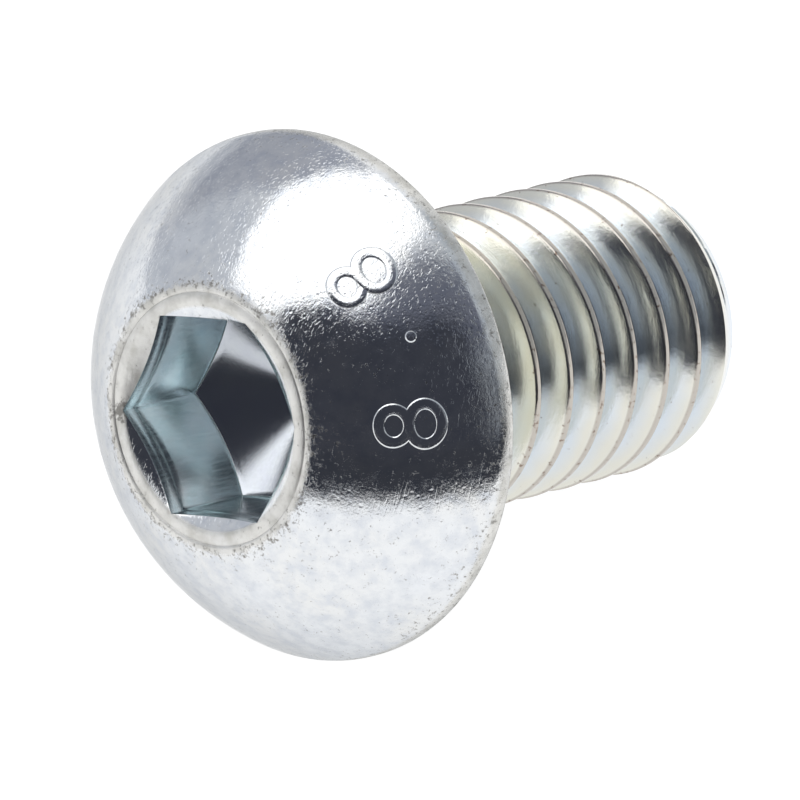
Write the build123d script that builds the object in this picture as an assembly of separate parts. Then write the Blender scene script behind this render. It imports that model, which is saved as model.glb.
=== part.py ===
from build123d import *
import os
from math import atan2, ceil, cos, degrees, floor, radians, tan

# Button head screw with a hexagon socket, M8 x 12, in millimetres.
# The screw is made upright on its own axis, head up, with the bearing face at z = 0.
# It is then laid down as it rests on a table, on the rim of its head and on a crest near
# its tip, with the tip towards +X.

# Thread, right-handed and rolled
pitch = 1.25
crest_radius = 3.89
crest_flat_share = 0.14     # of the pitch
root_flat_share = 0.23      # of the pitch
flank_angle = 30.0          # each flank, from square to the axis
crest_mark = 4.25           # from the bearing face to the tip side edge of one crest...
crest_mark_turn = -58.5     # ...measured at this angle round the axis
run_out_turns = 0.5         # turns over which the groove fades out below the head
cutter_overhang = 0.06      # how far the thread's cutter stands out past the crests

# Shank
shank_length = 12.35        # bearing face to tip
neck_length = 1.35          # plain shank between the head and the thread
neck_slope = 30.0           # of the cone from the neck up to the crests, from the axis
neck_blend = 0.50           # reach of the hollow curve from the neck to the bearing face
end_taper_length = 0.90
end_radius = 3.40

# Head
head_radius = 6.80
head_height = 3.95
rim_height = 0.45
rim_break = 0.10            # the chamfer that breaks both edges of the rim
dome_radius = 7.5
crown_radius = 3.42         # outer edge of the flat ring round the socket

# Hexagon socket
across_flats = 5.02
socket_turn = -12.5         # of one corner round the axis
socket_depth = 2.67         # from the flat ring to the corners of the floor
floor_angle = 120.0         # of the floor's cone
mouth_angle = 125.0         # of the countersink
mouth_clearance = 0.02      # how far the countersink stands out past the corners

# Worked out from the sizes above
crest_flat = pitch * crest_flat_share
root_flat = pitch * root_flat_share
flank_run = (pitch - crest_flat - root_flat) / 2
thread_depth = flank_run / tan(radians(flank_angle))
root_radius = crest_radius - thread_depth
neck_radius = crest_radius - thread_depth / 2
thread_start = neck_length + (crest_radius - neck_radius) / tan(radians(neck_slope))
taper_start = shank_length - end_taper_length
corner_radius = across_flats / 2 / cos(radians(30))
mouth_radius = corner_radius + mouth_clearance
underside = 180.0           # the angle round the axis that faces the table


def turned_blank():
    """The screw before its thread and socket, turned from one profile."""
    with BuildSketch(Plane.XZ) as profile:
        with BuildLine():
            Polyline(
                (0, head_height),
                (0, -shank_length),
                (end_radius, -shank_length),
                (crest_radius, -taper_start),
                (crest_radius, -thread_start),
                (neck_radius, -neck_length),
                (neck_radius, -neck_blend),
            )
            Bezier((neck_radius, -neck_blend), (neck_radius, 0), (neck_radius + neck_blend, 0))
            Polyline((neck_radius + neck_blend, 0), (head_radius, 0), (head_radius, rim_height))
            RadiusArc((head_radius, rim_height), (crown_radius, head_height), -dome_radius)
            Line((crown_radius, head_height), (0, head_height))
        make_face()
    sharp = revolve(profile.sketch, Axis.Z)
    rim = edge_round(sharp, head_radius, 0) + edge_round(sharp, head_radius, rim_height)
    return chamfer(rim, rim_break)


def edge_round(turned, radius, height):
    """The circular edge of a turned solid that has this radius and height."""
    rings = turned.edges().filter_by(GeomType.CIRCLE)
    return rings.sort_by(lambda ring: abs(ring.radius - radius) + abs(ring.arc_center.Z - height))[:1]


def crest_depth(turn):
    """How far below the bearing face a crest's tip side edge lies at an angle round the axis."""
    return crest_mark - pitch * (turn - crest_mark_turn) / 360


def groove_section(z):
    """The thread's cutter, cut through on the XZ plane with its middle at height z."""
    half_root = root_flat / 2
    outer_radius = crest_radius + cutter_overhang
    half_mouth = half_root + (outer_radius - root_radius) * tan(radians(flank_angle))
    with BuildSketch(Plane.XZ) as section:
        with BuildLine():
            Polyline(
                (outer_radius, z - half_mouth),
                (root_radius, z - half_root),
                (root_radius, z + half_root),
                (outer_radius, z + half_mouth),
                close=True,
            )
        make_face()
    return section.sketch


def thread_cutters():
    """One turn of the helical groove after another, and a last one that rises out of the neck."""
    groove_middle = crest_depth(0) + (pitch - crest_flat) / 2
    end_turn = 360 * (groove_middle - thread_start) / pitch
    one_turn = sweep(
        groove_section(-pitch),
        path=Helix(pitch, pitch, root_radius, center=(0, 0, -pitch)),
        is_frenet=True,
    )
    rise = run_out_turns * pitch
    climb = degrees(atan2(thread_depth, rise))
    run_out = sweep(
        groove_section(0),
        path=Helix(pitch / cos(radians(climb)), rise, root_radius, cone_angle=climb),
        is_frenet=True,
    )
    turns = ceil((shank_length - thread_start) / pitch) + 1
    cutters = [Pos(0, 0, -pitch * n) * one_turn for n in range(turns)] + [run_out]
    return [Pos(0, 0, -thread_start) * Rot(0, 0, end_turn) * cutter for cutter in cutters]


def socket():
    """What the punch takes out: a hexagon with a conical floor, and its countersink."""
    point_height = corner_radius / tan(radians(floor_angle / 2))
    sink_depth = mouth_radius / tan(radians(mouth_angle / 2))
    hexagon = RegularPolygon(corner_radius, 6, rotation=socket_turn)
    walls = extrude(hexagon, -socket_depth - point_height)
    punch = Cylinder(mouth_radius, socket_depth, align=(Align.CENTER, Align.CENTER, Align.MAX))
    point = Pos(0, 0, -socket_depth) * Rot(180, 0, 0) * Cone(
        corner_radius, 0, point_height, align=(Align.CENTER, Align.CENTER, Align.MIN)
    )
    sink = Rot(180, 0, 0) * Cone(
        mouth_radius, 0, sink_depth, align=(Align.CENTER, Align.CENTER, Align.MIN)
    )
    return Pos(0, 0, head_height) * ((walls & (punch + point)) + sink)


def lying_tilt():
    """How far the tip dips, in degrees, until a crest touches the table that the rim lies on.

    Where the end tapers, less of each crest is left and its sides stand wider apart."""
    taper = (crest_radius - end_radius) / end_taper_length
    widening = taper * tan(radians(flank_angle))
    first = crest_depth(underside)
    last_turn = floor((shank_length - first) / pitch)
    tilts = []
    for tip_side in [first + pitch * n for n in range(last_turn + 1)]:
        for edge, spread in ((tip_side - crest_flat, 1 + widening), (tip_side, 1 - widening)):
            into_taper = min(max(0, edge - taper_start) / spread, end_taper_length)
            depth = min(edge, taper_start) + into_taper
            radius = crest_radius - taper * into_taper
            if edge > thread_start:
                tilts.append(degrees(atan2(head_radius - radius, depth + rim_break)))
    return min(tilts)


def button_head_screw():
    upright = turned_blank() - socket()
    for cutter in thread_cutters():
        upright -= cutter
    lying = Rot(0, lying_tilt() - 90, 0) * upright
    box = lying.bounding_box()
    return Pos(-box.center().X, -box.center().Y, -box.min.Z) * lying


os.makedirs("parts", exist_ok=True)
export_step(button_head_screw(), "parts/button_head_screw.step")
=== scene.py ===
# Button head screw with a hexagon socket, M8 x 12, bright zinc plated, lying on a white table.
# Sizes are in millimetres and angles in degrees, until a mesh is laid down in the frame, which
# is in metres. The screw is made upright on its own axis, head up, bearing face at z = 0.
from math import atan2, ceil, cos, degrees, hypot, pi, radians, sin, tan, tau

import bmesh
import bpy
from mathutils import Matrix, Vector


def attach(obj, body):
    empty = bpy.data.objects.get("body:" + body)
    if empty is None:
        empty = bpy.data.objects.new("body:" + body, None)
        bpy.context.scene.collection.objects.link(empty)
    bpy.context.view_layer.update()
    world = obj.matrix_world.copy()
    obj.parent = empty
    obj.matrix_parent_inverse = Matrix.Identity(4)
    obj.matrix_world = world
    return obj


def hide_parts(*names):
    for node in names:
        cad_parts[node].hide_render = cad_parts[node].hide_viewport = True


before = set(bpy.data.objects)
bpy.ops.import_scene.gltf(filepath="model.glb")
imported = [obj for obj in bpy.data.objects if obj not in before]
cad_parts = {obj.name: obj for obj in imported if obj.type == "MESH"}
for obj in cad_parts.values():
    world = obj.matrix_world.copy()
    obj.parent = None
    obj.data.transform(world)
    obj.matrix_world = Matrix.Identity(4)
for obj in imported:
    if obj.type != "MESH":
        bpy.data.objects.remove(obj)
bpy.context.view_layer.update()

NODE = "button_head_screw"
MM = 0.001
MICRON = 1e-6

# Thread
pitch = 1.25
crest_radius = 3.89
crest_flat_share = 0.14         # of the pitch
root_flat_share = 0.23          # of the pitch
flank_angle = 30.0
crest_mark = 4.25               # bearing face to the tip side edge of one crest...
crest_mark_turn = -58.5         # ...measured at this angle round the axis
run_out_turns = 0.5             # turns over which the groove fades out below the head
run_out_overshoot = 0.1         # how far its floor has risen past the crests by then
crest_round = 0.05              # reach of the roundings that rolling leaves on the crests
root_round = 0.0744             # reach of the roundings at the foot of the flanks

# Shank
shank_length = 12.35            # bearing face to tip
neck_length = 1.35
neck_slope = 30.0
neck_blend = 0.50               # reach of the hollow curve from the neck to the bearing face
neck_join = 1.0                 # where the head's mesh ends...
neck_gap = 0.05                 # ...and how far below it the thread's mesh starts
end_taper_length = 0.90
end_radius = 3.40
end_rim = 0.42                  # the last stretch, where rolling leaves the blank's cone whole
end_rim_step = 0.14             # over which the groove rises to it

# Head
head_radius = 6.80
head_height = 3.95
rim_height = 0.45
rim_round = 0.15
dome_radius = 7.5
crown_radius = 3.42             # outer edge of the flat ring round the socket
crown_round = 0.10              # where the flat ring turns into the dome
ring_line = 3.235               # radius of the fine line pressed into the flat ring
ring_line_width = 0.10
ring_line_depth = 0.03
mouth_margin = 0.10             # flat between the socket's mouth and the next row of the ring
bearing_rows = (0.0, 0.6, 1.6)  # in from the rim

# Socket
across_flats = 5.02
socket_turn = -12.5             # of one corner round the axis
socket_depth = 2.67
floor_angle = 120.0
mouth_angle = 125.0
mouth_clearance = 0.02
lead_depth = 0.42               # the punch's lead-in, seen as a band below the lip
lead_flare = 0.028
lip_inset = 0.004               # keeps the lip's corners just below the mouth
socket_edge = 0.035             # how far the socket's forged edges are rounded
corner_slack = 0.03             # how far rows of the walls stand off the plain hexagon

# Figures raised on the dome, standing with their tops towards the crown
figure_places = (-72.2, -30.5)  # round the axis
point_place = -50.0
figure_arc = 43.4               # up the dome to the middle of a figure
figure_stroke = 0.30
figure_lift = 0.030
figure_sink = 0.05              # how far their feet go into the dome
figure_loops = ((0.66, 0.57, -0.38), (0.57, 0.53, 0.42))  # half width, half height, middle
loop_step = 0.002               # how much lower the second loop is, where the two overlap
point_size = 0.15
point_drop = 0.45               # from the line through the middles of the figures
point_crown = 1.2               # times the lift of the figures

# A nick in the ring at one corner of the socket
nick_turn = 107.5

# How it lies
rest_tilt = 14.688              # how far the tip dips
bearing_centre = Vector((-4.06021, 0.0, 6.55267))

# Fineness of the meshes
head_columns = 192
thread_columns = 144
loop_columns = 64
point_columns = 24
dome_rows = 26
blend_rows = 8
round_rows = 4
merge_reach = 1e-4
hard_turn = 32                  # faces that turn by more than this meet in a hard edge

# Rows of vertices as shares of a height or a width
flank_rows = (0.2, 0.4, 0.6, 0.8)
lead_rows = ((0.5, 1.0), (0.86, 1.0), (1.0, 0.5), (1.14, 0.0), (1.6, 0.0))  # depth, flare
wall_rows = (0.5, 0.94, 1.0)
floor_rows = (0.94, 0.7, 0.4, 0.15)

# Worked out from the sizes above
crest_flat = pitch * crest_flat_share
root_flat = pitch * root_flat_share
flank_run = (pitch - crest_flat - root_flat) / 2
thread_depth = flank_run / tan(radians(flank_angle))
root_radius = crest_radius - thread_depth
neck_radius = crest_radius - thread_depth / 2
thread_start = neck_length + (crest_radius - neck_radius) / tan(radians(neck_slope))
taper_start = shank_length - end_taper_length
corner_radius = across_flats / 2 / cos(radians(30))
mouth_radius = corner_radius + mouth_clearance
nick_place = (
    mouth_radius * cos(radians(nick_turn)),
    mouth_radius * sin(radians(nick_turn)),
    head_height,
)

LAY_DOWN = (
    Matrix.Translation(bearing_centre * MM)
    @ Matrix.Rotation(radians(rest_tilt - 90), 4, "Y")
    @ Matrix.Scale(MM, 4)
)


# ---------------------------------------------------------------- meshes


def polar(vert):
    """A vertex's radius and angle round the screw's own axis, while it is upright."""
    return hypot(vert.co.x, vert.co.y), atan2(vert.co.y, vert.co.x)


def place(vert, radius, height):
    """Moves a vertex along its own half plane."""
    turn = polar(vert)[1]
    vert.co = Vector((radius * cos(turn), radius * sin(turn), height))


def chain(mesh, outline, turn):
    """A row of joined vertices from (radius, height) pairs, in one half plane."""
    swing = Matrix.Rotation(turn, 3, "Z")
    verts = [mesh.verts.new(swing @ Vector((radius, 0.0, height))) for radius, height in outline]
    edges = [mesh.edges.new(pair) for pair in zip(verts, verts[1:])]
    return verts + edges


def turn_round(mesh, geom, steps):
    """Turns an outline once round the axis and closes it."""
    bmesh.ops.spin(
        mesh,
        geom=geom,
        cent=(0, 0, 0),
        axis=(0, 0, 1),
        angle=tau,
        steps=steps,
        use_merge=True,
        use_duplicate=False,
    )


def arc(centre, radius, start, end, steps):
    """Points on an arc in the half plane; angles in radians from the radial direction."""
    turns = [start + (end - start) * step / steps for step in range(steps + 1)]
    return [(centre[0] + radius * cos(turn), centre[1] + radius * sin(turn)) for turn in turns]


def bend(start, corner, end, steps):
    """Points on the curve that leaves its start and meets its end along lines to a corner."""
    start, corner, end = Vector(start), Vector(corner), Vector(end)
    points = []
    for step in range(steps + 1):
        t = step / steps
        points.append((1 - t) ** 2 * start + 2 * t * (1 - t) * corner + t**2 * end)
    return points


def dome_centre():
    """Centre of the dome's arc, from its two ends and its radius."""
    low = Vector((head_radius, rim_height))
    high = Vector((crown_radius, head_height))
    chord = high - low
    reach = (dome_radius**2 - (chord.length / 2) ** 2) ** 0.5
    inward = Vector((chord.y, -chord.x)).normalized()
    if inward.x > 0:
        inward = -inward
    return (low + high) / 2 + inward * reach


def head_outline():
    """From the socket's mouth over the dome and the rim to the neck."""
    ring = [
        (mouth_radius, head_height),
        (mouth_radius + mouth_margin, head_height),
        (ring_line - ring_line_width / 2, head_height),
        (ring_line, head_height - ring_line_depth),
        (ring_line + ring_line_width / 2, head_height),
    ]
    centre = dome_centre()
    low = atan2(rim_height - centre.y, head_radius - centre.x)
    high = atan2(head_height - centre.y, crown_radius - centre.x)
    dome = arc(centre, dome_radius, high, low, dome_rows)
    bearing = [(head_radius - inset, 0.0) for inset in bearing_rows]
    blend = bend(
        (neck_radius + neck_blend, 0.0),
        (neck_radius, 0.0),
        (neck_radius, -neck_blend),
        blend_rows,
    )
    return ring + dome + bearing + blend + [(neck_radius, -neck_join)]


def hexagon_radius(turn):
    """Distance from the axis to the hexagon's wall at an angle in radians."""
    off = (turn - radians(socket_turn)) % (pi / 3) - pi / 6
    return across_flats / 2 / cos(off)


def near(edge, radius, height):
    """Whether both ends of an edge lie on this circle about the axis."""
    return all(
        abs(polar(vert)[0] - radius) < merge_reach and abs(vert.co.z - height) < merge_reach
        for vert in edge.verts
    )


def grow(mesh, edges, move):
    """Extrudes a ring of edges and moves each new vertex; gives back the new ring."""
    made = bmesh.ops.extrude_edge_only(mesh, edges=edges)["geom"]
    for vert in [item for item in made if isinstance(item, bmesh.types.BMVert)]:
        move(vert)
    return [item for item in made if isinstance(item, bmesh.types.BMEdge) and item.is_boundary]


def lip_height(radius):
    """Height of the countersink's cone at a radius."""
    return head_height - (mouth_radius - radius) / tan(radians(mouth_angle / 2))


def floor_height(radius):
    """Height of the socket's conical floor at a radius."""
    return head_height - socket_depth - (corner_radius - radius) / tan(radians(floor_angle / 2))


def add_socket(mesh):
    """The countersink, the six walls with the punch's lead-in, and the conical floor."""
    mouth = [e for e in mesh.edges if e.is_boundary and near(e, mouth_radius, head_height)]

    def to_lip(vert):
        radius = hexagon_radius(polar(vert)[1]) + lead_flare
        place(vert, radius, lip_height(min(radius, mouth_radius - lip_inset)))

    def down_wall(share, flare):
        def move(vert):
            wall = hexagon_radius(polar(vert)[1])
            top = lip_height(wall)
            bottom = floor_height(wall)
            place(vert, wall + flare, top + (bottom - top) * share)

        return move

    def across_floor(share):
        def move(vert):
            radius = hexagon_radius(polar(vert)[1]) * share
            place(vert, radius, floor_height(radius))

        return move

    ring = grow(mesh, mouth, to_lip)
    lip = list(ring)
    for depth, flare in lead_rows:
        ring = grow(mesh, ring, down_wall(depth * lead_depth / socket_depth, flare * lead_flare))
    for share in wall_rows:
        ring = grow(mesh, ring, down_wall(share, 0.0))
    foot = list(ring)
    for share in floor_rows:
        ring = grow(mesh, ring, across_floor(share))
    made = bmesh.ops.extrude_edge_only(mesh, edges=ring)["geom"]
    verts = [item for item in made if isinstance(item, bmesh.types.BMVert)]
    bmesh.ops.pointmerge(mesh, verts=verts, merge_co=(0.0, 0.0, floor_height(0.0)))
    return lip, foot


def hexagon_corners(mesh):
    """The upright edges where two walls of the socket meet, below the lip."""
    chosen = []
    for edge in mesh.edges:
        low, high = sorted(vert.co.z for vert in edge.verts)
        inner, outer = sorted(polar(vert)[0] for vert in edge.verts)
        off = (degrees(polar(edge.verts[0])[1]) - socket_turn) % 60
        at_corner = min(off, 60 - off) < 0.1 and inner > corner_radius - corner_slack
        stands = high - low > 0.02 and outer - inner < corner_slack
        if at_corner and stands and outer < mouth_radius:
            chosen.append(edge)
    return chosen


def soften(mesh, edges, width, segments):
    """Rounds edges a little, as forging leaves them."""
    bmesh.ops.bevel(
        mesh,
        geom=edges,
        offset=width,
        offset_type="OFFSET",
        affect="EDGES",
        segments=segments,
        profile=0.5,
        material=-1,
        clamp_overlap=True,
    )


def groove_outline():
    """One pitch of the thread, from the middle of a crest, as (radius, height) pairs."""
    half_root = root_flat / 2
    half_mouth = half_root + flank_run
    corners = (
        ((crest_radius, pitch / 2), 0.0),
        ((crest_radius, half_mouth), crest_round),
        ((root_radius, half_root), root_round),
        ((root_radius, -half_root), root_round),
        ((crest_radius, -half_mouth), crest_round),
        ((crest_radius, -pitch / 2), 0.0),
    )
    places = [Vector(corner) for corner, reach in corners]
    reaches = [reach for corner, reach in corners]
    points = [places[0]]
    for before, at, after, reach, next_reach in zip(
        places, places[1:], places[2:], reaches[1:], reaches[2:]
    ):
        start = at + (before - at).normalized() * reach
        end = at + (after - at).normalized() * reach
        points += bend(start, at, end, round_rows)
        if after.x != at.x:
            far = after + (at - after).normalized() * next_reach
            points += [end.lerp(far, share) for share in flank_rows]
    return points


def groove_middle(turn):
    """Height of one groove's middle at an angle in degrees."""
    depth = crest_mark - pitch * (turn - crest_mark_turn) / 360
    return -(depth + (pitch - crest_flat) / 2)


def envelope(height):
    """Radius of the rolled blank at a height below the bearing face."""
    if height > -neck_length:
        return neck_radius
    if height > -thread_start:
        share = (-neck_length - height) / (thread_start - neck_length)
        return neck_radius + (crest_radius - neck_radius) * share
    if height > -taper_start:
        return crest_radius
    share = (-taper_start - height) / end_taper_length
    return crest_radius - (crest_radius - end_radius) * share


def ramp(value, reach):
    """Rises from 0 to 1 while a value goes from 0 to its reach."""
    return min(max(value / reach, 0.0), 1.0)


def cut(mesh, height, snap, **cleared):
    """Cuts a mesh level at a height, and clears the side that is named."""
    bmesh.ops.bisect_plane(
        mesh,
        geom=mesh.verts[:] + mesh.edges[:] + mesh.faces[:],
        dist=snap,
        plane_co=(0, 0, height),
        plane_no=(0, 0, 1),
        **cleared,
    )


def add_thread(mesh):
    """The threaded shank: one pitch of outline, screwed down, then cut to the blank's shape."""
    top = -neck_join - neck_gap
    first = groove_middle(0)
    # turns to spare above and below, which the cuts take off
    lift = ceil((top - first) / pitch + 1)
    turns = ceil((top + shank_length) / pitch) + 3
    outline = [(radius, height + first + lift * pitch) for radius, height in groove_outline()]
    outline.append((crest_radius, outline[0][1] - pitch))
    part = bmesh.new()
    bmesh.ops.spin(
        part,
        geom=chain(part, outline, 0.0),
        cent=(0, 0, 0),
        axis=(0, 0, -1),
        dvec=(0, 0, -pitch / thread_columns),
        angle=tau,
        steps=thread_columns,
        use_merge=False,
        use_duplicate=False,
    )
    one_turn = part.verts[:] + part.edges[:] + part.faces[:]
    for turn in range(1, turns):
        copied = bmesh.ops.duplicate(part, geom=one_turn)["geom"]
        moved = [item for item in copied if isinstance(item, bmesh.types.BMVert)]
        bmesh.ops.translate(part, verts=moved, vec=(0, 0, -pitch * turn))
    bmesh.ops.remove_doubles(part, verts=part.verts, dist=merge_reach)

    # rows where the groove starts to rise to the end's rim, half way and where it has risen
    for height in (end_rim, end_rim - end_rim_step / 2, end_rim - end_rim_step):
        cut(part, height - shank_length, 1e-3)
    for vert in part.verts:
        radius, turn = polar(vert)
        middle = groove_middle(degrees(turn))
        middle += round((vert.co.z - middle) / pitch) * pitch
        rise = ramp(middle + thread_start, run_out_turns * pitch)
        fill = ramp(end_rim - shank_length - vert.co.z, end_rim_step)
        radius += rise * (thread_depth + run_out_overshoot) + fill * thread_depth
        place(vert, min(envelope(vert.co.z), radius), vert.co.z)
    cut(part, top, 1e-5, clear_outer=True)
    cut(part, -shank_length, 1e-5, clear_inner=True)
    end = [
        edge
        for edge in part.edges
        if edge.is_boundary and all(abs(vert.co.z + shank_length) < 1e-3 for vert in edge.verts)
    ]
    bmesh.ops.contextual_create(part, geom=end)
    join_part(mesh, part)


def join_neck(mesh):
    """Closes the gap between the head's neck and the threaded shank."""
    bmesh.ops.bridge_loops(mesh, edges=[edge for edge in mesh.edges if edge.is_boundary])


def join_part(mesh, part):
    """Adds a part to the screw's mesh, its faces turned outward."""
    bmesh.ops.recalc_face_normals(part, faces=part.faces)
    scratch = bpy.data.meshes.new("part")
    part.to_mesh(scratch)
    part.free()
    mesh.from_mesh(scratch)
    bpy.data.meshes.remove(scratch)


def on_dome(across, up, lift, turn):
    """A point of a figure: across and up the dome from its middle, and out from the dome."""
    centre = dome_centre()
    angle = radians(figure_arc) + up / dome_radius
    reach = dome_radius + lift
    radius = centre.x + reach * cos(angle)
    swing = radians(turn) + across / radius
    return Vector((radius * cos(swing), radius * sin(swing), centre.y + reach * sin(angle)))


def stroke_section():
    """Across one stroke, as (offset from its middle, lift): foot, side, shoulder, flat top."""
    half = figure_stroke / 2
    right = [
        (half, -figure_sink),
        (half, 0.0),
        (half * 0.90, figure_lift * 0.6),
        (half * 0.72, figure_lift),
    ]
    left = [(-offset, lift) for offset, lift in reversed(right)]
    return right + left


def add_loop(mesh, half_width, half_height, middle, turn, drop):
    """One closed loop of a figure, laid on the dome."""
    part = bmesh.new()
    half = figure_stroke / 2
    ring = (half_width + half_height) / 2 - half
    section = [(ring + offset, 0.0, lift - drop) for offset, lift in stroke_section()]
    verts = [part.verts.new(spot) for spot in section]
    edges = [part.edges.new(pair) for pair in zip(verts, verts[1:] + verts[:1])]
    turn_round(part, verts + edges, loop_columns)
    for vert in part.verts:
        radius, swing = polar(vert)
        offset = radius - ring
        across = (half_width - half + offset) * cos(swing)
        up = middle + (half_height - half + offset) * sin(swing)
        vert.co = on_dome(across, up, vert.co.z, turn)
    join_part(mesh, part)


def add_point(mesh, turn):
    """The raised point between the figures."""
    part = bmesh.new()
    outline = [
        (point_size, -figure_sink),
        (point_size, 0.0),
        (point_size * 0.8, figure_lift),
        (point_size * 0.4, figure_lift * point_crown),
    ]
    turn_round(part, chain(part, outline, 0.0), point_columns)
    bmesh.ops.holes_fill(part, edges=part.edges)
    for vert in part.verts:
        vert.co = on_dome(vert.co.x, vert.co.y - point_drop, vert.co.z, turn)
    join_part(mesh, part)


def add_figures(mesh):
    """Two plain figures of two loops each, and a point between them."""
    for turn in figure_places:
        for number, loop in enumerate(figure_loops):
            add_loop(mesh, *loop, turn, loop_step * number)
    add_point(mesh, point_place)


def screw_mesh():
    """The whole screw, upright."""
    mesh = bmesh.new()
    turn_round(mesh, chain(mesh, head_outline(), radians(socket_turn)), head_columns)
    lip, foot = add_socket(mesh)
    soften(mesh, lip + foot + hexagon_corners(mesh), socket_edge, 2)
    rim = [e for e in mesh.edges if near(e, head_radius, 0) or near(e, head_radius, rim_height)]
    soften(mesh, rim, rim_round, 4)
    crown = [e for e in mesh.edges if near(e, crown_radius, head_height)]
    soften(mesh, crown, crown_round, 3)
    add_thread(mesh)
    join_neck(mesh)
    bmesh.ops.remove_doubles(mesh, verts=mesh.verts, dist=merge_reach)
    bmesh.ops.recalc_face_normals(mesh, faces=mesh.faces)
    add_figures(mesh)
    return mesh


# Places of the finishes among the screw's materials
HEAD, WALLS, THREAD, BEARING, FLOOR, FOOT = range(6)


def zone(face):
    """Which finish a face of the upright screw has. The limits allow for rounded edges."""
    spot = face.calc_center_median()
    radius = hypot(spot.x, spot.y)
    wall = hexagon_radius(atan2(spot.y, spot.x))
    if spot.z < -neck_blend:
        return THREAD
    if spot.z < 0.01 and face.normal.z < -0.1:
        return BEARING
    if radius < mouth_radius + 0.02:
        at_foot = abs(spot.z - floor_height(wall)) < 0.05 and abs(radius - wall) < 0.04
        if at_foot and abs(face.normal.z) < 0.85:
            return FOOT
        if spot.z < lip_height(radius) - 0.03:
            return FLOOR if face.normal.z > 0.4 else WALLS
    return HEAD


def sharpen(mesh, angle):
    """Shades smooth, with a hard edge wherever two faces turn by more than an angle."""
    for face in mesh.faces:
        face.smooth = True
    for edge in mesh.edges:
        if len(edge.link_faces) == 2 and edge.calc_face_angle() > radians(angle):
            edge.smooth = False


def make_screw():
    """The finished piece, lying in the frame."""
    mesh = screw_mesh()
    for face in mesh.faces:
        face.material_index = zone(face)
    sharpen(mesh, hard_turn)
    bmesh.ops.transform(mesh, matrix=LAY_DOWN, verts=mesh.verts)
    data = bpy.data.meshes.new("zinc_screw")
    mesh.to_mesh(data)
    mesh.free()
    piece = bpy.data.objects.new("zinc_screw", data)
    bpy.context.scene.collection.objects.link(piece)
    return piece


# ---------------------------------------------------------------- finishes
#
# The whole screw is zinc plate on steel, so every finish is a metal and keeps the default IOR.
# Patterns are sized in cells to the millimetre, and heights of relief are in micrometres.


def colour(text):
    """An sRGB hex colour as the linear values that nodes take."""
    channels = [int(text[i : i + 2], 16) / 255 for i in (1, 3, 5)]
    linear = [c / 12.92 if c <= 0.04045 else ((c + 0.055) / 1.055) ** 2.4 for c in channels]
    return (*linear, 1.0)


def add(tree, kind, inputs=None, **settings):
    """Adds a node with its settings, and its inputs as values or links."""
    node = tree.nodes.new(kind)
    for name, value in settings.items():
        setattr(node, name, value)
    for name, value in (inputs or {}).items():
        if isinstance(value, bpy.types.NodeSocket):
            tree.links.new(value, node.inputs[name])
        else:
            node.inputs[name].default_value = value
    return node


def new_material(name):
    """An empty material and its node tree."""
    material = bpy.data.materials.new(name)
    material.use_nodes = True
    material.node_tree.nodes.clear()
    return material, material.node_tree


def upright(tree):
    """Object coordinates as millimetres on the upright screw, with its axis on Z."""
    coords = add(tree, "ShaderNodeTexCoord")
    return add(tree, "ShaderNodeMapping", {
        "Vector": coords.outputs["Object"],
        "Location": bearing_centre * MM,
        "Rotation": (0.0, radians(rest_tilt - 90), 0.0),
        "Scale": (MM, MM, MM),
    }, vector_type="TEXTURE").outputs["Vector"]


def from_axis(tree, spot):
    """How far a place on the upright screw lies from its axis."""
    flat = add(tree, "ShaderNodeVectorMath", {0: spot, 1: (1.0, 1.0, 0.0)}, operation="MULTIPLY")
    return add(tree, "ShaderNodeVectorMath", {0: flat.outputs[0]}, operation="LENGTH").outputs["Value"]


def finish_metal(tree, shade, rough, relief, **extra):
    """Ends a material as a metal with this colour, roughness and relief."""
    bump = add(tree, "ShaderNodeBump", {
        "Strength": 1.0, "Distance": MICRON, "Height": relief.outputs[0],
    })
    shader = add(tree, "ShaderNodeBsdfPrincipled", {
        "Base Color": shade.outputs[2],
        "Metallic": 1.0,
        "Roughness": rough.outputs[0],
        "Normal": bump.outputs["Normal"],
        **extra,
    })
    add(tree, "ShaderNodeOutputMaterial", {"Surface": shader.outputs["BSDF"]})


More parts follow.
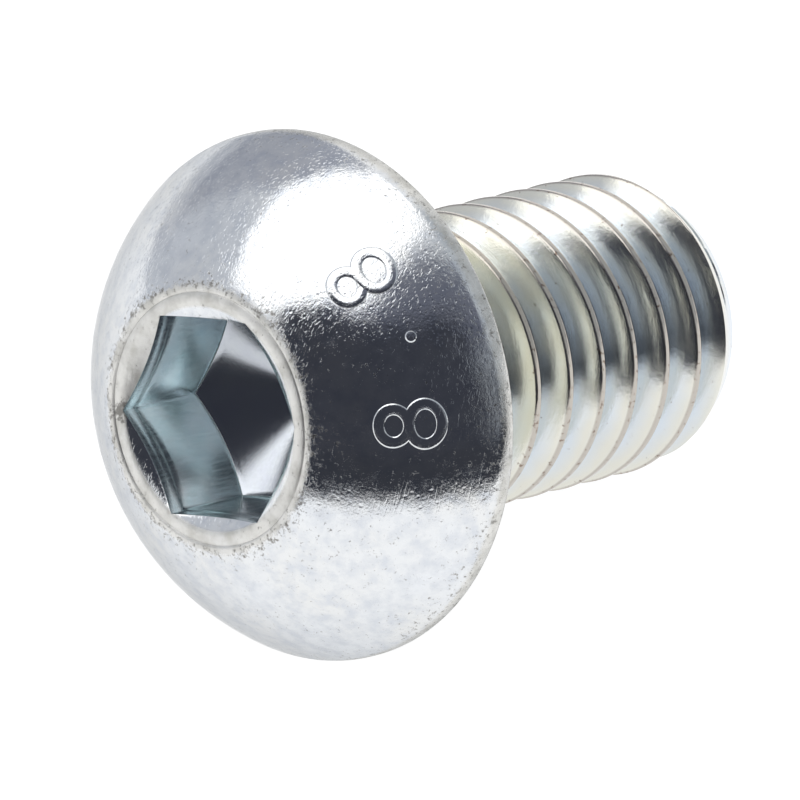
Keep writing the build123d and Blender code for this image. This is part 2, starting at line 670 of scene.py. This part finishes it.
def head_zinc():
    """Bright zinc plate on a cold headed dome. Heading leaves it a frosted mirror with small
    dents, and handling adds smudges and short scratches. The ring round the socket and the rim,
    where the dies met the blank, are satin, paler and flecked with grey."""
    material, tree = new_material("bright_zinc_plate_on_headed_steel")
    spot = upright(tree)
    parts = add(tree, "ShaderNodeSeparateXYZ", {"Vector": spot})
    radius = from_axis(tree, spot)

    # the satin ring, with an edge that wanders, and the satin rim
    ragged = add(tree, "ShaderNodeTexNoise", {
        "Vector": spot, "Scale": 7.0, "Detail": 5.0, "Roughness": 0.7,
    })
    wobble = add(tree, "ShaderNodeMath", {0: ragged.outputs["Fac"], 1: -0.5}, operation="ADD")
    ring_edge = add(tree, "ShaderNodeMath", {
        0: wobble.outputs[0], 1: 0.5, 2: radius,
    }, operation="MULTIPLY_ADD")
    ring = add(tree, "ShaderNodeMapRange", {
        "Value": ring_edge.outputs[0],
        "From Min": crown_radius - 0.05, "From Max": crown_radius + 0.11,
        "To Min": 1.0, "To Max": 0.0,
    }, interpolation_type="SMOOTHSTEP")

    # inside the mouth only what is level with the ring is satin, and one side of the lip
    level = add(tree, "ShaderNodeMapRange", {
        "Value": parts.outputs["Z"],
        "From Min": head_height - 0.05, "From Max": head_height - 0.01,
        "To Min": 0.0, "To Max": 1.0,
    })
    outside = add(tree, "ShaderNodeMath", {
        0: radius, 1: crown_radius - 0.32,
    }, operation="GREATER_THAN")
    level = add(tree, "ShaderNodeMath", {
        0: level.outputs[0], 1: outside.outputs[0],
    }, operation="MAXIMUM")
    worn_side = radians(socket_turn + 90)
    along = add(tree, "ShaderNodeVectorMath", {
        0: spot, 1: (cos(worn_side), sin(worn_side), 0.0),
    }, operation="DOT_PRODUCT")
    along = add(tree, "ShaderNodeMath", {
        0: along.outputs["Value"], 1: across_flats / 2 - 0.1,
    }, operation="GREATER_THAN")
    level = add(tree, "ShaderNodeMath", {
        0: level.outputs[0], 1: along.outputs[0],
    }, operation="MAXIMUM")
    ring = add(tree, "ShaderNodeMath", {
        0: ring.outputs[0], 1: level.outputs[0],
    }, operation="MULTIPLY")
    rim_edge = add(tree, "ShaderNodeMath", {
        0: wobble.outputs[0], 1: 0.35, 2: parts.outputs["Z"],
    }, operation="MULTIPLY_ADD")
    rim = add(tree, "ShaderNodeMapRange", {
        "Value": rim_edge.outputs[0],
        "From Min": rim_height - 0.07, "From Max": rim_height + 0.11,
        "To Min": 1.0, "To Max": 0.0,
    }, interpolation_type="SMOOTHSTEP")
    satin = add(tree, "ShaderNodeMath", {
        0: ring.outputs[0], 1: rim.outputs[0],
    }, operation="MAXIMUM").outputs[0]

    # flecks of darker plate, 0.13 mm across: sparse on the dome, where they crowd in patches
    # of a millimetre, and thick along the ring's edge, along the rim and at the nick
    speck = add(tree, "ShaderNodeTexNoise", {
        "Vector": spot, "Scale": 7.5, "Detail": 7.0, "Roughness": 0.74,
    })
    patch = add(tree, "ShaderNodeTexNoise", {"Vector": spot, "Scale": 0.9, "Detail": 3.0})
    crease = add(tree, "ShaderNodeMapRange", {
        "Value": ring_edge.outputs[0],
        "From Min": crown_radius + 0.04, "From Max": crown_radius + 0.38,
        "To Min": 0.11, "To Max": 0.0,
    })
    inside = add(tree, "ShaderNodeMapRange", {
        "Value": ring_edge.outputs[0],
        "From Min": crown_radius - 0.22, "From Max": crown_radius + 0.02,
        "To Min": 0.0, "To Max": 1.0,
    })
    crease = add(tree, "ShaderNodeMath", {
        0: crease.outputs[0], 1: inside.outputs[0],
    }, operation="MULTIPLY")
    low = add(tree, "ShaderNodeMapRange", {
        "Value": parts.outputs["Z"], "From Min": rim_height, "From Max": rim_height + 0.85,
        "To Min": 0.06, "To Max": 0.0,
    })
    away = add(tree, "ShaderNodeVectorMath", {0: spot, 1: nick_place}, operation="DISTANCE")
    nick = add(tree, "ShaderNodeMapRange", {
        "Value": away.outputs["Value"], "From Min": 0.15, "From Max": 0.50,
        "To Min": 0.24, "To Max": 0.0,
    }, interpolation_type="SMOOTHSTEP")
    thick = add(tree, "ShaderNodeMath", {
        0: patch.outputs["Fac"], 1: 0.16, 2: speck.outputs["Fac"],
    }, operation="MULTIPLY_ADD")
    for place_flecked in (crease, low, nick):
        thick = add(tree, "ShaderNodeMath", {
            0: thick.outputs[0], 1: place_flecked.outputs[0],
        }, operation="ADD")
    fleck = add(tree, "ShaderNodeMapRange", {
        "Value": thick.outputs[0], "From Min": 0.675, "From Max": 0.80,
        "To Min": 0.0, "To Max": 1.0,
    }, interpolation_type="SMOOTHSTEP").outputs[0]

    # colour: it drifts over 2 mm, with grey clouds of half a millimetre, cool on the dome and
    # paler and warmer where it is satin
    tone = add(tree, "ShaderNodeTexNoise", {"Vector": spot, "Scale": 0.55, "Detail": 3.0})
    mottle = add(tree, "ShaderNodeTexNoise", {
        "Vector": spot, "Scale": 2.2, "Detail": 4.0, "Roughness": 0.55,
    })
    clouded = add(tree, "ShaderNodeMapRange", {
        "Value": mottle.outputs["Fac"], "From Min": 0.42, "From Max": 0.68,
        "To Min": 0.0, "To Max": 1.0,
    })
    plates = []
    for first, second, cloud in (
        ("#E1E6ED", "#E8E7E3", "#D4D8DE"),
        ("#E3E1DA", "#DEDFE0", "#C8C7C2"),
    ):
        drift = add(tree, "ShaderNodeMix", {
            0: tone.outputs["Fac"], 6: colour(first), 7: colour(second),
        }, data_type="RGBA")
        plates.append(add(tree, "ShaderNodeMix", {
            0: clouded.outputs[0], 6: drift.outputs[2], 7: colour(cloud),
        }, data_type="RGBA"))
    plate = add(tree, "ShaderNodeMix", {
        0: satin, 6: plates[0].outputs[2], 7: plates[1].outputs[2],
    }, data_type="RGBA")
    shade = add(tree, "ShaderNodeMix", {
        0: fleck, 6: plate.outputs[2], 7: colour("#93918D"),
    }, data_type="RGBA")

    # relief: a frosted grain, drawn at 0.07 mm because the real one is too fine to show, that
    # comes and goes over 0.7 mm and is stronger on the side that was knocked most
    grain = add(tree, "ShaderNodeTexNoise", {
        "Vector": spot, "Scale": 14.0, "Detail": 5.0, "Roughness": 0.62,
    })
    frost = add(tree, "ShaderNodeTexNoise", {
        "Vector": spot, "Scale": 1.5, "Detail": 5.0, "Roughness": 0.62,
    })
    knocked = add(tree, "ShaderNodeMapRange", {
        "Value": parts.outputs["Y"], "From Min": -0.5, "From Max": -4.5,
        "To Min": 0.0, "To Max": 0.10,
    })
    frost = add(tree, "ShaderNodeMath", {
        0: frost.outputs["Fac"], 1: knocked.outputs[0],
    }, operation="ADD")
    frosted = add(tree, "ShaderNodeMapRange", {
        "Value": frost.outputs[0], "From Min": 0.36, "From Max": 0.70,
        "To Min": 0.8, "To Max": 5.5,
    })
    amount = add(tree, "ShaderNodeMix", {
        0: satin, 2: frosted.outputs[0], 3: 8.0,
    }, data_type="FLOAT")

    # dents, one to each quarter of a millimetre
    dent = add(tree, "ShaderNodeTexVoronoi", {"Vector": spot, "Scale": 4.0, "Randomness": 1.0})
    hollow = add(tree, "ShaderNodeMapRange", {
        "Value": dent.outputs["Distance"], "From Min": 0.03, "From Max": 0.26,
        "To Min": -2.2, "To Max": 0.0,
    }, interpolation_type="SMOOTHSTEP")
    relief = add(tree, "ShaderNodeMath", {
        0: grain.outputs["Fac"], 1: amount.outputs[0], 2: hollow.outputs[0],
    }, operation="MULTIPLY_ADD")

    # scratches about 0.9 mm long and 0.08 mm wide, in two directions
    for turned in ((0.3, 0.5, 0.8), (1.1, -0.4, 2.1)):
        drawn = add(tree, "ShaderNodeMapping", {
            "Vector": spot, "Rotation": turned, "Scale": (1.1, 13.0, 13.0),
        })
        line = add(tree, "ShaderNodeTexNoise", {
            "Vector": drawn.outputs["Vector"], "Scale": 1.0, "Detail": 1.0,
        })
        scratch = add(tree, "ShaderNodeMapRange", {
            "Value": line.outputs["Fac"], "From Min": 0.62, "From Max": 0.70,
            "To Min": 0.0, "To Max": -1.9,
        })
        relief = add(tree, "ShaderNodeMath", {
            0: relief.outputs[0], 1: scratch.outputs[0],
        }, operation="ADD")
    relief = add(tree, "ShaderNodeMath", {
        0: fleck, 1: -1.8, 2: relief.outputs[0],
    }, operation="MULTIPLY_ADD")

    # gloss: smudges of 0.4 mm on the dome, and satin, where the flecks are the most matt
    haze = add(tree, "ShaderNodeTexNoise", {
        "Vector": spot, "Scale": 2.4, "Detail": 6.0, "Roughness": 0.66,
    })
    gloss = add(tree, "ShaderNodeMapRange", {
        "Value": haze.outputs["Fac"], "From Min": 0.46, "From Max": 0.70,
        "To Min": 0.04, "To Max": 0.22,
    })
    rough = add(tree, "ShaderNodeMix", {
        0: ring.outputs[0], 2: gloss.outputs[0], 3: 0.40,
    }, data_type="FLOAT")
    rough = add(tree, "ShaderNodeMath", {
        0: rim.outputs[0], 1: 0.16, 2: rough.outputs[0],
    }, operation="MULTIPLY_ADD")
    rough = add(tree, "ShaderNodeMath", {
        0: fleck, 1: 0.15, 2: rough.outputs[0],
    }, operation="MULTIPLY_ADD")
    finish_metal(tree, shade, rough, relief, **{"Specular Tint": colour("#D2D3D4")})
    return material


def socket_zinc(name, film, worn, smooth, matt, ripple):
    """Zinc plate on punched or pressed steel: a thin film that is worn in patches of 0.6 mm,
    and streaks along the punch's way, 0.07 mm wide, that vary the gloss and the relief."""
    material, tree = new_material(name)
    spot = upright(tree)
    streaked = add(tree, "ShaderNodeMapping", {"Vector": spot, "Scale": (9.0, 9.0, 0.8)})
    streak = add(tree, "ShaderNodeTexNoise", {
        "Vector": streaked.outputs["Vector"], "Scale": 1.6, "Detail": 4.0, "Roughness": 0.65,
    })
    patch = add(tree, "ShaderNodeTexNoise", {
        "Vector": spot, "Scale": 1.7, "Detail": 5.0, "Roughness": 0.6,
    })
    share = add(tree, "ShaderNodeMapRange", {
        "Value": patch.outputs["Fac"], "From Min": 0.35, "From Max": 0.70,
        "To Min": 0.0, "To Max": 1.0,
    })
    shade = add(tree, "ShaderNodeMix", {
        0: share.outputs[0], 6: colour(film), 7: colour(worn),
    }, data_type="RGBA")
    rough = add(tree, "ShaderNodeMapRange", {
        "Value": streak.outputs["Fac"], "From Min": 0.3, "From Max": 0.75,
        "To Min": smooth, "To Max": matt,
    })
    relief = add(tree, "ShaderNodeMath", {
        0: streak.outputs["Fac"], 1: ripple,
    }, operation="MULTIPLY")
    finish_metal(tree, shade, rough, relief)
    return material


def thread_zinc():
    """Zinc plate on a rolled thread. Rolling burnishes it along the turns, so its streaks run
    round it. The plate is bluish in the grooves and warmer on the crests, and brown specks of
    oxide line the crests' edges. A warm cream near the head, mostly on its upper side as it
    lies, is a painted reflection, and a grey-brown band along the crests is painted shade."""
    material, tree = new_material("zinc_plate_on_rolled_thread")
    spot = upright(tree)
    parts = add(tree, "ShaderNodeSeparateXYZ", {"Vector": spot})
    radius = from_axis(tree, spot)

    # streaks 0.08 mm wide and a millimetre long, and patches of a millimetre
    rolled = add(tree, "ShaderNodeMapping", {"Vector": spot, "Scale": (1.1, 1.1, 16.0)})
    streak = add(tree, "ShaderNodeTexNoise", {
        "Vector": rolled.outputs["Vector"], "Scale": 0.8, "Detail": 4.0, "Roughness": 0.6,
    })
    patch = add(tree, "ShaderNodeTexNoise", {"Vector": spot, "Scale": 1.1, "Detail": 4.0})

    # colour: from groove to crest, then a painted warm reflection near the head, mostly on the upper
    # side as the screw lies
    outer = add(tree, "ShaderNodeMapRange", {
        "Value": radius, "From Min": root_radius + 0.30, "From Max": crest_radius - 0.02,
        "To Min": -0.25, "To Max": 0.75,
    }, clamp=False)
    warmth = add(tree, "ShaderNodeMath", {
        0: patch.outputs["Fac"], 1: outer.outputs[0],
    }, operation="ADD", use_clamp=True)
    film = add(tree, "ShaderNodeMix", {
        0: warmth.outputs[0], 6: colour("#D5DDE5"), 7: colour("#E0DFD6"),
    }, data_type="RGBA")
    painted_warm_reflection = add(tree, "ShaderNodeMapRange", {
        "Value": parts.outputs["Z"], "From Min": -6.5, "From Max": -1.0,
        "To Min": 0.0, "To Max": 1.2,
    })
    painted_warm_reflection = add(tree, "ShaderNodeMath", {
        0: painted_warm_reflection.outputs[0], 1: patch.outputs["Fac"],
    }, operation="MULTIPLY")
    above = add(tree, "ShaderNodeMapRange", {
        "Value": parts.outputs["X"], "From Min": -0.5, "From Max": 2.5,
        "To Min": 0.1, "To Max": 1.6,
    })
    painted_warm_reflection = add(tree, "ShaderNodeMath", {
        0: painted_warm_reflection.outputs[0], 1: above.outputs[0],
    }, operation="MULTIPLY", use_clamp=True)
    # painted warm reflection: cream mixed into the plate near the head, strongest on the upper side
    film = add(tree, "ShaderNodeMix", {
        0: painted_warm_reflection.outputs[0], 6: film.outputs[2], 7: colour("#DDD8C4"),
    }, data_type="RGBA")

    # specks of oxide of 0.17 mm, a little thicker at the crests, on crests darkened to grey-brown by
    # painted shade
    edge = add(tree, "ShaderNodeMapRange", {
        "Value": radius, "From Min": crest_radius - 0.08, "From Max": crest_radius - 0.015,
        "To Min": 0.0, "To Max": 0.08,
    })
    speck = add(tree, "ShaderNodeTexNoise", {
        "Vector": spot, "Scale": 6.0, "Detail": 6.0, "Roughness": 0.7,
    })
    thick = add(tree, "ShaderNodeMath", {
        0: speck.outputs["Fac"], 1: edge.outputs[0],
    }, operation="ADD")
    fleck = add(tree, "ShaderNodeMapRange", {
        "Value": thick.outputs[0], "From Min": 0.635, "From Max": 0.73,
        "To Min": 0.0, "To Max": 1.0,
    }, interpolation_type="SMOOTHSTEP")
    # painted shade: each crest's edge darkened to grey-brown, standing in for the dark line its
    # reflection shows
    crest = add(tree, "ShaderNodeMapRange", {
        "Value": radius, "From Min": crest_radius - 0.06, "From Max": crest_radius - 0.02,
        "To Min": 0.0, "To Max": 0.55,
    })
    film = add(tree, "ShaderNodeMix", {
        0: crest.outputs[0], 6: film.outputs[2], 7: colour("#9A8E88"),
    }, data_type="RGBA")
    shade = add(tree, "ShaderNodeMix", {
        0: fleck.outputs[0], 6: film.outputs[2], 7: colour("#857468"),
    }, data_type="RGBA")
    rough = add(tree, "ShaderNodeMapRange", {
        "Value": patch.outputs["Fac"], "From Min": 0.3, "From Max": 0.7,
        "To Min": 0.12, "To Max": 0.24,
    })
    relief = add(tree, "ShaderNodeMath", {
        0: streak.outputs["Fac"], 1: 4.0,
    }, operation="MULTIPLY")
    relief = add(tree, "ShaderNodeMath", {
        0: speck.outputs["Fac"], 1: 3.5, 2: relief.outputs[0],
    }, operation="MULTIPLY_ADD")
    finish_metal(tree, shade, rough, relief)
    return material


# ---------------------------------------------------------------- studio
#
# A white table, a softbox overhead and plain panels round it. Only the table shows to the
# camera. The panels are what the polished metal mirrors. Lengths are in millimetres.

room_reach = 700.0              # from the screw to most of the panels
panel_rows = 8
panel_columns = 24
softbox_reach = 600.0
softbox_strength = 1.8
table_radius = 3000.0
table_glow = 0.924              # how white the table is by itself, where 1 is white...
table_share = 0.70              # ...and the share of its colour that no shadow falls on

# The softbox's lower edge as the screw sees it: azimuth and elevation
SOFTBOX = (
    (-178, 57), (-152, 57), (-138, 70), (-120, 79), (-80, 81), (-25, 78), (15, 72),
    (48, 64), (70, 55), (88, 48), (118, 42), (132, 36), (151, 38), (172, 51),
)


def glow(name, shade, strength):
    """Lit cloth: one even colour, because it shows only as a highlight in the metal."""
    material, tree = new_material(name)
    light = add(tree, "ShaderNodeEmission", {"Color": colour(shade), "Strength": strength})
    add(tree, "ShaderNodeOutputMaterial", {"Surface": light.outputs["Emission"]})
    return material


def faded(name, shade, azimuths, elevations, fade):
    """A painted panel that thins out towards its sides and top over an angle, so that the
    metal mirrors it with the soft edges of a room."""
    material, tree = new_material(name)
    middle = (azimuths[0] + azimuths[1]) / 2
    half = radians(abs(azimuths[1] - azimuths[0]) / 2)
    high = radians(elevations[1])
    soft = radians(fade)
    coords = add(tree, "ShaderNodeTexCoord")
    turned = add(tree, "ShaderNodeMapping", {
        "Vector": coords.outputs["Object"], "Rotation": (0.0, 0.0, radians(-middle)),
    })
    spot = add(tree, "ShaderNodeVectorMath", {0: turned.outputs["Vector"]}, operation="NORMALIZE")
    parts = add(tree, "ShaderNodeSeparateXYZ", {"Vector": spot.outputs[0]})
    across = add(tree, "ShaderNodeMath", {
        0: parts.outputs["Y"], 1: parts.outputs["X"],
    }, operation="ARCTAN2")
    across = add(tree, "ShaderNodeMath", {0: across.outputs[0]}, operation="ABSOLUTE")
    up = add(tree, "ShaderNodeMath", {0: parts.outputs["Z"]}, operation="ARCSINE")
    sides = add(tree, "ShaderNodeMapRange", {
        "Value": across.outputs[0], "From Min": half - soft, "From Max": half,
        "To Min": 1.0, "To Max": 0.0,
    }, interpolation_type="SMOOTHSTEP")
    top = add(tree, "ShaderNodeMapRange", {
        "Value": up.outputs[0], "From Min": high - soft, "From Max": high,
        "To Min": 1.0, "To Max": 0.0,
    }, interpolation_type="SMOOTHSTEP")
    solid = add(tree, "ShaderNodeMath", {
        0: sides.outputs[0], 1: top.outputs[0],
    }, operation="MULTIPLY")
    light = add(tree, "ShaderNodeEmission", {"Color": colour(shade), "Strength": 1.0})
    clear = add(tree, "ShaderNodeBsdfTransparent")
    mix = add(tree, "ShaderNodeMixShader", {
        "Fac": solid.outputs[0], 1: clear.outputs[0], 2: light.outputs[0],
    })
    add(tree, "ShaderNodeOutputMaterial", {"Surface": mix.outputs[0]})
    return material


def stage_piece(name, mesh, material, seen=False):
    """A piece of the studio from a mesh in millimetres; only what is seen shows to a camera."""
    bmesh.ops.scale(mesh, vec=(MM, MM, MM), verts=mesh.verts)
    data = bpy.data.meshes.new(name)
    mesh.to_mesh(data)
    mesh.free()
    data.materials.append(material)
    piece = bpy.data.objects.new(name, data)
    bpy.context.scene.collection.objects.link(piece)
    piece.visible_camera = seen


def wall(name, azimuths, elevations, shade, reach=room_reach, fade=8.0):
    """A curved panel round the table, between two azimuths and two elevations."""
    mesh = bmesh.new()
    low, high = elevations
    rows = [radians(low + (high - low) * n / panel_rows) for n in range(panel_rows + 1)]
    outline = [(reach * cos(row), reach * sin(row)) for row in rows]
    bmesh.ops.spin(
        mesh,
        geom=chain(mesh, outline, radians(azimuths[0])),
        cent=(0, 0, 0),
        axis=(0, 0, 1),
        angle=radians(azimuths[1] - azimuths[0]),
        steps=panel_columns,
        use_merge=False,
        use_duplicate=False,
    )
    stage_piece(name, mesh, faded(name, shade, azimuths, elevations, fade))


def toward(azimuth, elevation):
    """The direction of an azimuth and an elevation."""
    turn, rise = radians(azimuth), radians(elevation)
    return Vector((cos(rise) * cos(turn), cos(rise) * sin(turn), sin(rise)))


def make_softbox():
    """The lamp: white cloth between its lower edge and a middle straight above the screw."""
    mesh = bmesh.new()
    edge = [mesh.verts.new(toward(*corner) * softbox_reach) for corner in SOFTBOX]
    middle = mesh.verts.new(toward(0, 90) * softbox_reach)
    for pair in zip(edge, edge[1:] + edge[:1]):
        mesh.faces.new((*pair, middle))
    stage_piece("softbox", mesh, glow("softbox_cloth", "#FFFFFF", softbox_strength))


def make_table():
    """Matt white board. It shows white to the camera and in the metal, and keeps a shadow."""
    material, tree = new_material("white_table")
    light = add(tree, "ShaderNodeLightPath")
    seen = add(tree, "ShaderNodeMath", {
        0: light.outputs["Is Camera Ray"], 1: light.outputs["Is Glossy Ray"],
    }, operation="MAXIMUM")
    seen = add(tree, "ShaderNodeMath", {
        0: seen.outputs[0], 1: light.outputs["Is Transmission Ray"],
    }, operation="MAXIMUM")
    share = add(tree, "ShaderNodeMath", {0: seen.outputs[0], 1: table_share}, operation="MULTIPLY")
    matt = add(tree, "ShaderNodeBsdfDiffuse", {"Color": colour("#F6F6F6")})
    white = add(tree, "ShaderNodeEmission", {
        "Color": colour("#FFFFFF"), "Strength": table_glow / table_share,
    })
    mix = add(tree, "ShaderNodeMixShader", {
        "Fac": share.outputs[0], 1: matt.outputs[0], 2: white.outputs[0],
    })
    add(tree, "ShaderNodeOutputMaterial", {"Surface": mix.outputs[0]})
    mesh = bmesh.new()
    bmesh.ops.create_circle(mesh, cap_ends=True, radius=table_radius, segments=64)
    stage_piece("table", mesh, material, seen=True)


def make_world():
    """Plain white light from all round."""
    world = bpy.data.worlds.new("studio")
    bpy.context.scene.world = world
    world.use_nodes = True
    world.node_tree.nodes.clear()
    back = add(world.node_tree, "ShaderNodeBackground", {
        "Color": colour("#FFFFFF"), "Strength": 1.0,
    })
    add(world.node_tree, "ShaderNodeOutputWorld", {"Surface": back.outputs[0]})


def make_studio():
    """The light and all that the metal mirrors; a nearer panel stands in front of the rest."""
    make_world()
    make_table()
    make_softbox()
    wall("dark_corner", (-100, -58), (-3, 44), "#46474C", reach=685.0, fade=24.0)
    wall("dark_room", (-200, -87), (-3, 58), "#3E4048", reach=690.0, fade=10.0)
    wall("slate_wall_above", (-204, -60), (34, 84), "#6C6F7B", fade=16.0)
    wall("lilac_drape", (46, 91), (9, 70), "#AEB1BA", reach=710.0)
    wall("drape_hem", (40, 95), (-3, 16), "#D2D4DA", reach=715.0)
    wall("grey_wall_back", (78, 150), (-3, 60), "#CDD0D6", reach=720.0)
    wall("grey_wall_right", (-110, 12), (-3, 82), "#BEC3C8", reach=740.0, fade=16.0)
    wall("low_card", (-178, -60), (-20, 17), "#3B3D44", reach=30.0, fade=2.0)


# ---------------------------------------------------------------- camera

camera_place = Vector((-219.652, -207.392, 196.150))
camera_aim = Vector((-2.618, -1.642, 6.420))
camera_lens = 630.0
sensor_width = 36.0


def make_camera():
    """A long lens, looking down along the screw from the side of its head."""
    data = bpy.data.cameras.new("camera")
    data.lens = camera_lens
    data.sensor_width = sensor_width
    data.clip_start = 10 * MM
    data.clip_end = 10.0
    camera = bpy.data.objects.new("camera", data)
    bpy.context.scene.collection.objects.link(camera)
    camera.location = camera_place * MM
    camera.rotation_mode = "QUATERNION"
    camera.rotation_quaternion = (camera_aim - camera_place).to_track_quat("-Z", "Y")
    bpy.context.scene.camera = camera


make_camera()
make_studio()
screw = make_screw()

# In the order of the places that zone() gives. Each socket_zinc is told its film, its worn
# film, its roughness from smooth to matt, and the depth of its streaks.
FINISHES = (
    head_zinc(),
    # the punch drags the walls, so they are streaked, and the blue passivation shows there
    socket_zinc("blue_passivated_zinc_on_punched_walls", "#E8F6F7", "#F6FBFB", 0.14, 0.27, 2.5),
    thread_zinc(),
    # turned away from the light, plain and slightly yellow
    socket_zinc("yellowed_zinc_on_pressed_bearing_face", "#E2E5DA", "#E6E6DE", 0.14, 0.20, 1.0),
    # pressed flat by the punch's end, so a smoother mirror than the walls; its darker film is painted
    # shade at the bottom of the socket
    socket_zinc("blue_passivated_zinc_on_pressed_floor_painted_darker", "#BABEC6", "#BFC4C8", 0.12, 0.20, 0.6),
    # rubbed bright where wall meets floor, and matt enough to show as a pale line
    socket_zinc("burnished_zinc_on_punched_edge", "#F2F6F8", "#F2F6F8", 0.40, 0.50, 0.0),
)
for finish in FINISHES:
    screw.data.materials.append(finish)
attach(screw, "root")
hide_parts(NODE)

bpy.context.scene.view_settings.view_transform = "Standard"
